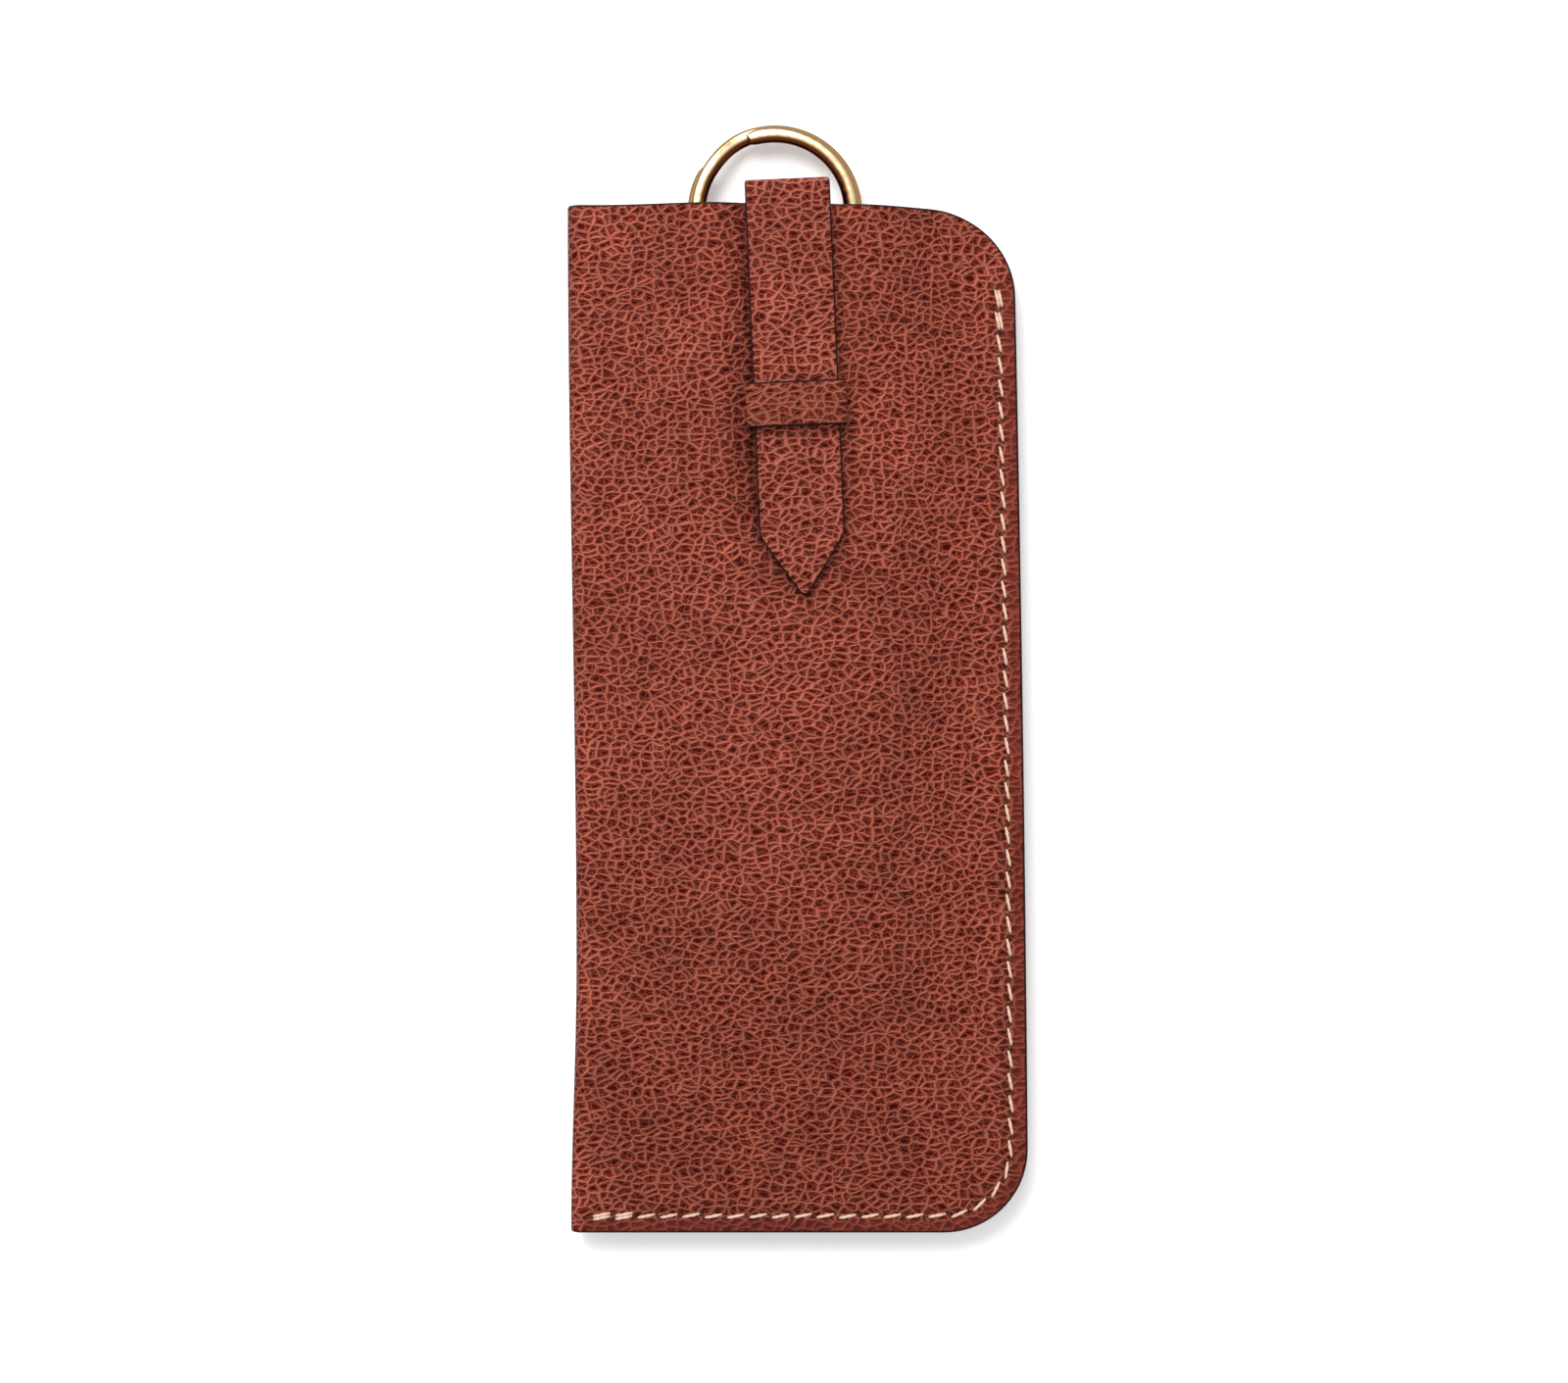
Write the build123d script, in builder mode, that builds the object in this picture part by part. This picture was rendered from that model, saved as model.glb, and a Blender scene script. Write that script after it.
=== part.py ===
from build123d import *
from math import cos, radians, sin
import os

# Soft leather pouch for a pair of glasses, lying on its back. Sizes are in millimetres.
# +Y points to the mouth, +X to the sewn long side and +Z up from the table, out of the front.
# The origin is on the table, under the middle of the whole object with its ring.

# Pouch
half_width = 39.4
half_length = 94.85
leather = 1.5
lining_sheet = 0.4
glue_line = 0.05
seam_z = 5.0
crown_z = 16.0
corner_radius = 14.5
margin = 5.6
mouth_left_y = 80.75
mouth_right_y = 79.5
edge_top_x = 36.9
edge_middle_x = 38.45
edge_middle_y = -1.5
edge_bottom_x = 39.45
edge_bow = 1.4
fold_bow = 1.5
fold_bow_d = 130.0
fold_bow_back = 0.6
fold_hollow = 1.0
fold_press = 0.95
front_flat = (-11.0, 10.5)
back_flat = (-22.0, 22.0)
slope_steps = 4
fold_steps = 4

# Where the pouch's height changes, as distances below the mouth's left corner
over_ring = (17.0, 30.0)
over_root = (46.0, 62.0)
crown_end = (128.0, 166.0)
back_end = (148.0, 166.0)

# How far the folded sheets are drawn past the outline that trims them
overrun = 4.0
mouth_overrun = 3.0
cut_over = 1.0
slit_depth = 5.0

# Split ring: two coils of flattened wire
ring_outer_r = 15.0
wire_width = 2.7
wire_thick = 1.45
coil_pitch = 1.5
step_start = 110.5
step_turn = 36.0
ring_x = -3.9
ring_base_z = 2.3
running_gap = 0.3
wire_round = 0.5

# Strap, from its seam on the back, over the mouth and down the front.
# A place along it is u, measured from the mouth's edge down the pouch.
strap_width = 14.4
strap_thick = 1.4
strap_tilt = 2.45
strap_x = -1.66
strap_back_z = 0.6
strap_root_end = 44.0
strap_turn_u = 7.0
strap_lift = 0.3
root_gap = 0.1
bow_u = -3.5
guide_u = 34.3
tongue_tip_u = 66.2
tongue_taper = 10.0
tip_width = 2.4
link_gap = 0.1

# Keeper, the loop that the tongue slides through
keeper_u = 34.1
keeper_width = 7.6
keeper_thick = 1.0
keeper_side_gap = 0.3
keeper_head_gap = 0.95
keeper_tab = 6.0
keeper_round = 0.8
slit_gap = 0.15

# Thread
thread_r = 0.3
stitch_pitch = 3.85
stitch_length = 3.1
seam_inset = 2.9
seam_top_y = 66.7
seam_middle_y = -12.0
seam_left_x = -35.4
root_thread_r = 0.22
root_stitch_pitch = 2.6
root_stitch_length = 2.0
root_seam_u = (31.5, 42.0)
root_seam_half = 5.2
thread_gap = 0.06

# Worked out from the sizes above
pouch_length = mouth_left_y + half_length
lining_far = glue_line + lining_sheet
leather_near = lining_far + glue_line
leather_far = leather_near + leather
ring_mean_r = ring_outer_r - wire_width / 2
ring_y = half_length - ring_outer_r
mouth_slope = (mouth_left_y - mouth_right_y) / (half_width + edge_top_x)
strap_y = mouth_left_y - mouth_slope * (strap_x + half_width)
mouth_back_z = ring_base_z + coil_pitch + wire_thick + running_gap
root_back_z = strap_back_z + strap_thick + root_gap
strap_low_z = crown_z + strap_lift
strap_mid_z = strap_low_z + strap_thick / 2
knee_u = (bow_u + guide_u) / 2
keeper_under_z = strap_low_z + strap_thick + keeper_head_gap
keeper_half = strap_width / 2 + keeper_side_gap
across = Vector(cos(radians(strap_tilt)), sin(radians(strap_tilt)), 0)
down_strap = Vector(sin(radians(strap_tilt)), -cos(radians(strap_tilt)), 0)


def ramp(d, start, end):
    """0 before start, 1 after end, and a smooth rise between them."""
    t = min(max((d - start) / (end - start), 0), 1)
    return t * t * (3 - 2 * t)


# How the folded sheet lies, at the distance d below the mouth's left corner
def crown_rise(d):
    return (crown_z - seam_z - leather_far) * (1 - ramp(d, *crown_end))


def back_drop(d):
    """How far the back's middle lies below its sewn edge: less over the strap's root and the ring."""
    full = seam_z - leather_far
    root_share = root_back_z * (1 - ramp(d, *over_root))
    ring_share = (mouth_back_z - root_back_z) * (1 - ramp(d, *over_ring))
    return full - root_share - ring_share - full * ramp(d, *back_end)


def fold_gap(d):
    return fold_hollow * (1 - fold_press * ramp(d, *back_end))


def fold_x(d):
    bow = fold_bow * ramp(d, 0, fold_bow_d)
    return -half_width + bow * (1 - fold_bow_back * ramp(d, fold_bow_d, pouch_length))


def edge_x(d):
    t = d / pouch_length
    return edge_top_x + (edge_bottom_x - edge_top_x) * t + edge_bow * t * (1 - t)


def leg_points(d, offset, side, flat, rise):
    """One face of the front (side 1) or the back (side -1), from the fold to past the sewn edge."""
    gap = fold_gap(d)
    centre_x = fold_x(d) + leather_far + gap
    margin_x = edge_x(d) - margin
    levels = [(centre_x, gap)]
    for i in range(1, slope_steps + 1):
        t = i / slope_steps
        levels.append((centre_x + (flat[0] - centre_x) * t, gap + (rise - gap) * ramp(t, 0, 1)))
    for i in range(slope_steps + 1):
        t = i / slope_steps
        levels.append((flat[1] + (margin_x - flat[1]) * t, rise * (1 - ramp(t, 0, 1))))
    levels.append((half_width + overrun, 0))
    return [(x, seam_z + side * (offset + level)) for x, level in levels]


def fold_points(d, offset):
    """Points between the legs of one face, round the fold from the back to the front."""
    r = offset + fold_gap(d)
    centre_x = fold_x(d) + leather_far + fold_gap(d)
    turns = [180 * i / fold_steps for i in range(1, fold_steps)]
    return [(centre_x - r * sin(radians(a)), seam_z - r * cos(radians(a))) for a in turns]


def folded_section(d, near, far):
    """Section of a folded sheet whose faces lie near and far from the seam's middle plane."""
    front = (1, front_flat, crown_rise(d))
    back = (-1, back_flat, back_drop(d))
    outside = leg_points(d, far, *back)[::-1] + fold_points(d, far) + leg_points(d, far, *front)
    inside = leg_points(d, near, *back)[::-1] + fold_points(d, near) + leg_points(d, near, *front)
    plane = Plane((0, mouth_left_y - d, 0), x_dir=(1, 0, 0), z_dir=(0, -1, 0))
    points = [plane.from_local_coords((x, z, 0)) for x, z in outside + inside[::-1]]
    return Face(Wire.make_polygon(points, close=True))


def folded_sections(near, far):
    """Sections from above the mouth to below the sewn end, close together where the shape changes."""
    marks = over_ring + over_root + crown_end[:1] + back_end
    stations = [-mouth_overrun]
    for start, end, steps in zip(marks, marks[1:], (4, 1, 4, 3, 3, 5)):
        stations += [start + (end - start) * i / steps for i in range(steps)]
    stations += [back_end[1], pouch_length + mouth_overrun]
    return [folded_section(d, near, far) for d in stations]


def pouch_outline():
    """Plan of the pouch, running past the fold, which has its own round edge."""
    left = -half_width - overrun
    left_y = mouth_left_y + mouth_slope * overrun
    with BuildSketch() as outline:
        with BuildLine():
            top = Line((left, left_y), (edge_top_x, mouth_right_y))
            side = ThreePointArc(top @ 1, (edge_middle_x, edge_middle_y), (edge_bottom_x, -half_length))
            Polyline(side @ 1, (left, -half_length), (left, left_y))
        make_face()
        fillet(outline.vertices().sort_by(Axis.X)[-2:], radius=corner_radius)
    return outline.sketch.face()


def strap_plane(z):
    """Plan of the strap: x across it, y up it, from the middle of the mouth's edge."""
    return Plane((strap_x, strap_y, z), x_dir=across, z_dir=(0, 0, 1))


def strap_side():
    """Side view of the strap: x is u, down the strap, and y is the height."""
    return Plane((strap_x, strap_y, 0), x_dir=down_strap, z_dir=-across)


def strap_point(u, z):
    return Vector(strap_x, strap_y, z) + down_strap * u


def keeper_slits():
    w = keeper_half + keeper_thick / 2
    with BuildSketch(strap_plane(crown_z + cut_over)) as slits:
        with Locations((-w, -keeper_u), (w, -keeper_u)):
            Rectangle(keeper_thick + 2 * slit_gap, keeper_width + 2 * slit_gap)
    return slits.sketch.faces()


# Outer leather: one sheet, folded on the left and open at the mouth
with BuildPart() as outer_leather:
    loft(folded_sections(leather_near, leather_far), ruled=True, clean=False)
    extrude(pouch_outline(), amount=crown_z + cut_over, clean=False, mode=Mode.INTERSECT)
    extrude(keeper_slits(), amount=-slit_depth, clean=False, mode=Mode.SUBTRACT)

# Lining: a thin suede sheet glued inside, with its edges flush with the leather's
with BuildPart() as lining:
    loft(folded_sections(glue_line, lining_far), ruled=True, clean=False)
    extrude(pouch_outline(), amount=crown_z + cut_over, clean=False, mode=Mode.INTERSECT)
    extrude(keeper_slits(), amount=-slit_depth, clean=False, mode=Mode.SUBTRACT)

# Strap root: lies outside the back, passes under the ring's wire and turns up past the mouth
with BuildPart() as strap_root:
    root_mid_z = strap_back_z + strap_thick / 2
    turn_r = strap_turn_u - bow_u
    with BuildSketch(strap_side()):
        with BuildLine():
            Line((strap_root_end, root_mid_z), (strap_turn_u, root_mid_z))
            CenterArc((strap_turn_u, root_mid_z + turn_r), turn_r, 180, 90)
            Line((bow_u, root_mid_z + turn_r), (bow_u, strap_low_z - 2 * link_gap))
        trace(line_width=strap_thick)
    extrude(amount=strap_width / 2, both=True)

# Upper link of the strap: hinges at the fold over the mouth, where its end is rounded
with BuildPart() as strap_upper:
    with BuildSketch(strap_side()):
        with Locations((bow_u, strap_low_z)):
            Rectangle(knee_u - link_gap - bow_u, strap_thick, align=(Align.MIN, Align.MIN))
        with Locations((bow_u, strap_mid_z)):
            Circle(strap_thick / 2)
    extrude(amount=strap_width / 2, both=True)

# Lower link of the strap, from the knee to the tongue
with BuildPart() as strap_lower:
    with BuildSketch(strap_side()):
        with Locations((knee_u + link_gap, strap_low_z)):
            length = guide_u - knee_u - strap_thick / 2 - 2 * link_gap
            Rectangle(length, strap_thick, align=(Align.MIN, Align.MIN))
    extrude(amount=strap_width / 2, both=True)

# Tongue: slides through the keeper, with a pointed tip
with BuildPart() as strap_tongue:
    with BuildSketch(strap_plane(strap_low_z)):
        half = strap_width / 2
        shoulder_y = tongue_taper - tongue_tip_u
        with BuildLine():
            Polyline((-half, shoulder_y), (-half, -guide_u), (half, -guide_u), (half, shoulder_y))
            Line((half, shoulder_y), (tip_width / 2, -tongue_tip_u))
            Line((tip_width / 2, -tongue_tip_u), (-tip_width / 2, -tongue_tip_u))
            Line((-tip_width / 2, -tongue_tip_u), (-half, shoulder_y))
        make_face()
    extrude(amount=strap_thick)
    with BuildSketch(strap_side()):
        with Locations((guide_u, strap_mid_z)):
            Circle(strap_thick / 2)
    extrude(amount=strap_width / 2, both=True)

# Keeper: a leather band over the strap, through both slits, with its ends turned in and glued
with BuildPart() as keeper:
    band_top = keeper_under_z + keeper_thick
    tab_top = crown_z - leather_far + glue_line - 2 * thread_gap
    tab_low = tab_top - keeper_thick
    outer_w = keeper_half + keeper_thick
    with BuildSketch(Plane(strap_point(keeper_u, 0), x_dir=across, z_dir=down_strap)):
        with BuildLine():
            Polyline(
                (-outer_w, tab_low),
                (-outer_w, band_top),
                (outer_w, band_top),
                (outer_w, tab_low),
                (outer_w - keeper_thick - keeper_tab, tab_low),
                (outer_w - keeper_thick - keeper_tab, tab_top),
                (keeper_half, tab_top),
                (keeper_half, keeper_under_z),
                (-keeper_half, keeper_under_z),
                (-keeper_half, tab_top),
                (keeper_thick + keeper_tab - outer_w, tab_top),
                (keeper_thick + keeper_tab - outer_w, tab_low),
                close=True,
            )
        make_face()
    extrude(amount=keeper_width / 2, both=True)
    sides = keeper.edges().group_by(Axis.Z)[-1].filter_by(Axis((0, 0, 0), down_strap))
    fillet(sides, radius=keeper_round)


def coil_section(angle, z):
    """The wire's flattened section at an angle round the ring, with its low side at z."""
    out = Vector(cos(radians(angle)), sin(radians(angle)), 0)
    centre = Vector(ring_x, ring_y, z + wire_thick / 2) + out * ring_mean_r
    with BuildSketch(Plane(centre, x_dir=out, z_dir=Vector(-out.Y, out.X, 0))) as section:
        RectangleRounded(wire_width, wire_thick, wire_round)
    return section.sketch.face()


# Split ring: a low and a high coil, joined where the wire steps up between them
with BuildPart() as split_ring:
    ring_axis = Axis((ring_x, ring_y, 0), (0, 0, 1))
    step_end = step_start + step_turn
    for z in (ring_base_z, ring_base_z + coil_pitch):
        revolve(coil_section(step_end, z), axis=ring_axis, revolution_arc=360 - step_turn)
    steps = 6
    loft([
        coil_section(step_start + step_turn * i / steps, ring_base_z + coil_pitch * ramp(i, 0, steps))
        for i in range(steps + 1)
    ])


def seam_places():
    """Middle and direction of each stitch, along the sewn side, round the corner and to the fold."""
    corner = (edge_bottom_x - seam_inset, seam_inset - half_length)
    top_x = edge_x(mouth_left_y - seam_top_y) - seam_inset
    middle_x = edge_x(mouth_left_y - seam_middle_y) - seam_inset
    with BuildLine() as path:
        side = ThreePointArc((top_x, seam_top_y), (middle_x, seam_middle_y), corner)
        Line(side @ 1, (seam_left_x, seam_inset - half_length))
        fillet(path.vertices().sort_by_distance(corner)[0], radius=corner_radius - seam_inset)
    wire = path.wire()
    count = round(wire.length / stitch_pitch)
    return [(wire @ ((i + 0.5) / count), wire % ((i + 0.5) / count)) for i in range(count)]


def stitch_planes(places, z):
    return [Plane((p.X, p.Y, z), z_dir=way) for p, way in places]


def box_seam_places():
    """Middle and direction of each stitch round the strap root's box seam."""
    corners = [strap_point(u, 0) + across * w for u, w in (
        (root_seam_u[0], -root_seam_half), (root_seam_u[0], root_seam_half),
        (root_seam_u[1], root_seam_half), (root_seam_u[1], -root_seam_half))]
    places = []
    for a, b in zip(corners, corners[1:] + corners[:1]):
        count = round((b - a).length / root_stitch_pitch)
        places += [(a + (b - a) * ((i + 0.5) / count), b - a) for i in range(count)]
    return places


# Main seam's thread, as it shows on the front and on the back
stitch_rise = leather_far + thread_r + thread_gap
with BuildPart() as seam_thread_front:
    with Locations(*stitch_planes(seam_places(), seam_z + stitch_rise)):
        Cylinder(thread_r, stitch_length)
with BuildPart() as seam_thread_back:
    with Locations(*stitch_planes(seam_places(), seam_z - stitch_rise)):
        Cylinder(thread_r, stitch_length)

# Box seam of the strap's root, as it shows on the strap and on the lining inside
with BuildPart() as root_thread_outside:
    with Locations(*stitch_planes(box_seam_places(), strap_back_z - root_thread_r - thread_gap)):
        Cylinder(root_thread_r, root_stitch_length)
with BuildPart() as root_thread_inside:
    inside_z = root_back_z + leather_far - glue_line + root_thread_r + thread_gap
    with Locations(*stitch_planes(box_seam_places(), inside_z)):
        Cylinder(root_thread_r, root_stitch_length)

os.makedirs("parts", exist_ok=True)
named = {
    "outer_leather": outer_leather,
    "lining": lining,
    "strap_root": strap_root,
    "strap_upper": strap_upper,
    "strap_lower": strap_lower,
    "strap_tongue": strap_tongue,
    "keeper": keeper,
    "split_ring": split_ring,
    "seam_thread_front": seam_thread_front,
    "seam_thread_back": seam_thread_back,
    "root_thread_outside": root_thread_outside,
    "root_thread_inside": root_thread_inside,
}
for name, piece in named.items():
    piece.part.label = name
    export_step(piece.part, f"parts/{name}.step")
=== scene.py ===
# %% [markdown]
# A soft leather pouch for a pair of glasses.
# One sheet of pebbled leather is lined with suede, folded on the left and sewn on the right and
# along the bottom. A strap is sewn to the back, comes up past the mouth, carries a gold split
# ring and tucks under a keeper on the front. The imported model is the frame: it gives every place
# and every joint, and each piece below is shaped in that frame, in millimetres, and made in metres.

# %% Load the frame
import math
import bpy
import numpy as np
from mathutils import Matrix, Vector


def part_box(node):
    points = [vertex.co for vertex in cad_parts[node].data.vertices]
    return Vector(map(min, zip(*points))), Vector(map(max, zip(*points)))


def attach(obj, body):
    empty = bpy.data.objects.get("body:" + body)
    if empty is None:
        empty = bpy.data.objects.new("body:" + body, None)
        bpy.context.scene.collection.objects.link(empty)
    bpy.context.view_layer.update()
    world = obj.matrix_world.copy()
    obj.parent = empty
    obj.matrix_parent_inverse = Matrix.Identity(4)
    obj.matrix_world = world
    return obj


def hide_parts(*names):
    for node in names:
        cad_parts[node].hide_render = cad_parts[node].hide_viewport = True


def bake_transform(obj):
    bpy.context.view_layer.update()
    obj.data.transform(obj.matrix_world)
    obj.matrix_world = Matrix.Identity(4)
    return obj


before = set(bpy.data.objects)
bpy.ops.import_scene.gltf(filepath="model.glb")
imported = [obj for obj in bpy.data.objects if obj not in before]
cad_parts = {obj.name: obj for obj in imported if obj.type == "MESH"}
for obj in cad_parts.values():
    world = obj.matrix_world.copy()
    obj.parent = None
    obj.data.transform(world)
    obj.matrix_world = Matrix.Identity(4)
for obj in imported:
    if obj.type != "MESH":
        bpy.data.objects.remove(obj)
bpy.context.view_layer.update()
mm = 0.001

# %% [markdown]
# The camera looks straight down on the pouch from about three quarters of a metre, with a long
# lens, so that the outline keeps its true proportions. It comes first because everything else
# is judged through it.

# %% Camera
camera_place, camera_lens = (-2.33, -2.37, 751), 100
camera_data = bpy.data.cameras.new("camera")
camera_data.lens = camera_lens
camera = bpy.data.objects.new("camera", camera_data)
bpy.context.scene.collection.objects.link(camera)
camera.location = tuple(c * mm for c in camera_place)
bpy.context.scene.camera = camera
print("camera", camera_place, "mm, lens", camera_lens)

# %% [markdown]
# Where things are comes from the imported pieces: the leather's box gives the pouch's size, the
# ring's box its middle, and the strap pieces' boxes their heights. A few sizes of the cut are
# the maker's own, such as the corner's radius and how far the sewn edge bows.

# %% Places taken from the frame
def box_mm(name):
    low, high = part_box(name)
    return np.array(low) / mm, np.array(high) / mm


case_low, case_high = box_mm("outer_leather")
left_x, bottom_y = case_low[0], case_low[1]
mouth_y, crown_z = case_high[1], case_high[2]
length = mouth_y - bottom_y
edge_top_x, edge_bottom_x, edge_bow = 36.9, case_high[0] + 0.1, 1.4
corner_r = 14.5
mouth_fall = 1.25  # how much lower the mouth is on the right
mouth_slope = mouth_fall / (edge_top_x - left_x)
seam_z = 5.0  # the plane where the two faces are sewn together
leather_near, leather_far = 0.5, 2.0  # from that plane to the leather's flesh and grain sides
lining_near, lining_far = 0.05, 0.45
strap_tilt = math.radians(2.45)
strap_x = -1.66
strap_y = mouth_y - mouth_slope * (strap_x - left_x)
print("pouch", round(length, 2), "long, crown at", round(float(crown_z), 2))

# %% [markdown]
# Two smooth curves shape nearly everything that follows. A ramp carries a surface from one level
# to another without a corner, and a bump makes a dip or a swelling that fades away on both sides.

# %% Ramps and bumps
def ramp(d, start, end):
    """0 before start, 1 after end, and a smooth rise between them."""
    t = np.clip((d - start) / (end - start), 0, 1)
    return t * t * (3 - 2 * t)


def bump_at(d, middle, width):
    """A smooth bump of height 1 at middle, gone about two widths away."""
    return np.exp(-(((d - middle) / width) ** 2))


# %% [markdown]
# The outline. Rows run across the pouch and are counted by d, the distance below the mouth.
# A row ends on the right where the cut edge is, which turns in round each rounded corner.
# The distance from a place to the nearest cut edge steers the rounding of the edge and its paint.

# %% Outline of the pouch
def edge_x(d):
    t = d / length
    return edge_top_x + (edge_bottom_x - edge_top_x) * t + edge_bow * t * (1 - t)


def row_end(d):
    into_corner = np.clip(corner_r - np.minimum(d, length - d), 0, corner_r)
    return edge_x(d) - corner_r + np.sqrt(corner_r**2 - into_corner**2)


def place_y(x, d):
    return (mouth_y - mouth_slope * (x - left_x)) * (1 - d / length) + bottom_y * d / length


def edge_distance(x, d):
    to_side, to_mouth, to_bottom = edge_x(d) - x, d, length - d
    nearest = np.minimum(to_side, np.minimum(to_mouth, to_bottom))
    for to_end in (to_mouth, to_bottom):
        inside_corner = (to_side < corner_r) & (to_end < corner_r)
        arc = corner_r - np.hypot(corner_r - to_side, corner_r - to_end)
        nearest = np.where(inside_corner, arc, nearest)
    return nearest


def strap_place(x, y):
    """A place as (u, w): how far down the strap it is, and how far across."""
    dx, dy = x - strap_x, y - strap_y
    u = dx * math.sin(strap_tilt) - dy * math.cos(strap_tilt)
    return u, dx * math.cos(strap_tilt) + dy * math.sin(strap_tilt)


# %% [markdown]
# How the sheet lies. Soft leather over a hollow makes a low crown that is pressed flat along the
# seam and turns in a tight round at the fold. The back stays flatter, to lie on a table, and
# stands in a little over the strap's root and over the ring. The front dips along both sides of
# the strap, more on the left, where the strap has pressed it in, and it is never quite even.

# %% Heights of the two faces
over_ring, over_root = (17, 30), (46, 62)  # stretches below the mouth
crown_end, back_end = (128, 168), (148, 166)
ring_room, root_room = 3.45, 2.1
fold_bow, fold_straight_at, fold_bow_back, fold_press = 1.5, 130, 0.6, 0.95
margin = 5.6


def crown_rise(d):
    return (crown_z - seam_z - leather_far) * (1 - ramp(d, *crown_end))


def back_drop(d):
    """The back's depth: less over the strap's root, less again over the ring, none at the end."""
    full = seam_z - leather_far
    over_strap = full - root_room * (1 - ramp(d, *over_root))
    return over_strap - ring_room * (1 - ramp(d, *over_ring)) - full * ramp(d, *back_end)


def fold_gap(d):
    return 1 - fold_press * ramp(d, *back_end)


def fold_centre(d):
    bow = fold_bow * ramp(d, 0, fold_straight_at)
    bow = bow * (1 - fold_bow_back * ramp(d, fold_straight_at, length))
    return left_x + bow + leather_far + fold_gap(d)


def swell(x, d, rise, flat_left, flat_right):
    """Height of one face above the seam's plane, from the fold's gap to the sewn margin."""
    gap = fold_gap(d)
    left = gap + (rise - gap) * ramp(x, fold_centre(d), flat_left)
    right = rise * (1 - ramp(x, flat_right, edge_x(d) - margin))
    return np.where(x < flat_left, left, np.where(x > flat_right, right, rise))


# %% [markdown]
# The front is never quite even. The strap has pressed a wide dip and a sharp crease into its left
# side and a shallower dip into its right, and slow waves a fifth of a millimetre high run between
# them. They could be painted on, but a real dip catches the light from any side.

# %% How the front and the back lie
front_flat, back_flat = (-11.0, 10.5), (-22.0, 22.0)
left_dip, left_crease, right_dip = (-9.0, 2.2), (-7.6, 0.8), (8.6, 1.5)  # place and width across
under_strap = (0, 9)


def pressed_by_strap(u, w):
    """Depth of the dips along the strap, at u down and w across it."""
    left = 1.0 * bump_at(w, *left_dip) + 0.9 * bump_at(w, *left_crease)
    left = left * ramp(u, -6, 2) * (1 - ramp(u, 50, 60))
    return left + 0.6 * bump_at(w, *right_dip) * (1 - ramp(u, 46, 60))


def slow_waves(x, y):
    long_waves = 0.22 * np.sin(x / 9.0 + 1.3) * np.sin(y / 17.0 + 0.4)
    return long_waves + 0.12 * np.sin(y / 6.5 + x / 11.0)


def front_lie(x, d):
    level = swell(x, d, crown_rise(d), *front_flat)
    y = place_y(x, d)
    u, w = strap_place(x, y)
    free = np.clip((level - fold_gap(d)) / 3, 0, 1)
    uneven = slow_waves(x, y) * (1 - bump_at(w, *under_strap))
    return level - free * (pressed_by_strap(u, w) + uneven)


def back_lie(x, d):
    return swell(x, d, back_drop(d), *back_flat)


# %% [markdown]
# The seam presses a shallow groove into the margin, with a small pucker at every stitch, and the
# cut edge is sanded round. Both are taken off the outer face only, so the inside stays smooth.

# %% Groove, puckers and rounded edge
seam_inset, stitch_pitch, edge_round = 2.9, 3.85, 0.5
seam_top, seam_end = (65.5, 69.0), (-37.5, -34.5)


def seam_share(x, y):
    """1 along the sewn part of the margin, and 0 above the seam's top and beyond its end."""
    return (1 - ramp(y, *seam_top)) * ramp(x, *seam_end)


def pressed_in(x, d):
    y = place_y(x, d)
    e = edge_distance(x, d)
    along = np.where(e < length - d - 0.01, y, x)
    wave = 0.5 + 0.5 * np.cos(2 * math.pi * along / stitch_pitch)
    groove = 0.26 * bump_at(e, seam_inset, 0.65) + 0.16 * wave * bump_at(e, seam_inset + 1.1, 0.9)
    reach = np.clip(edge_round - e, 0, edge_round)
    return groove * seam_share(x, y) + edge_round - np.sqrt(edge_round**2 - reach**2)


# %% [markdown]
# The leather's lightness isn't even either. A painted shadow darkens the crease beside the strap, and
# painted shade darkens the lower end and lightens the right side, as the light falls. The line of the
# seam is darker and the side by the fold lighter. It is one number at each place, which the finish
# multiplies its colour by, so the grain itself stays the same from end to end.

# %% Tone, with painted light and shade
strap_half, strap_half_tip, shoulder_u, tip_u = 7.2, 0.45, 55.9, 66.2


def strap_half_at(u):
    pointed = np.clip((u - shoulder_u) / (tip_u - shoulder_u), 0, 1)
    return strap_half - (strap_half - strap_half_tip) * pointed


def strap_painted_shadow(u, w):
    """Painted shadow along both edges of the strap, sharp on the left and faint on the right."""
    beside = strap_half_at(u)
    left = 0.6 * bump_at(w, -beside - 0.25, 0.6) + 0.12 * bump_at(w, -beside - 2.2, 2.0)
    right = 0.12 * bump_at(w, beside + 0.9, 1.2)
    return ramp(u, -6, 0) * (1 - ramp(u, 64, 68)) * (left + right)


def tone_and_painted_shade_at(x, d):
    """How light the leather is, against 1, with painted light and shade in it."""
    y = place_y(x, d)
    e = edge_distance(x, d)
    seam = 0.22 * bump_at(e, seam_inset + 0.8, 0.6) + 0.1 * bump_at(e, 1.2, 1.6)
    # Painted shadow beside the strap; the line of the seam is darker too.
    kept = (1 - strap_painted_shadow(*strap_place(x, y))) * (1 - seam_share(x, y) * seam)
    # Painted shade: darker towards the lower end and lighter to the right, as the light falls from the
    # top.
    painted_falloff = 0.13 * ramp(d, 30, 160) - 0.06 * ramp(x, 5, 32)
    return kept * (1.03 - painted_falloff) * (1 + 0.07 * bump_at(x, left_x, 5.0))


# %% [markdown]
# A sheet is one grid of rows and columns. The columns start at the front's sewn edge, cross the
# front, go round the fold and cross the back. They crowd together near the cut edges, where the
# shape turns fast. An outer and an inner grid are joined by a rim, so the sheet has a real
# thickness and a real cut edge. It could be a solidified surface, but then the rim couldn't be
# rounded on its own. The length along each row is kept as a map, so the grain isn't stretched.

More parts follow.
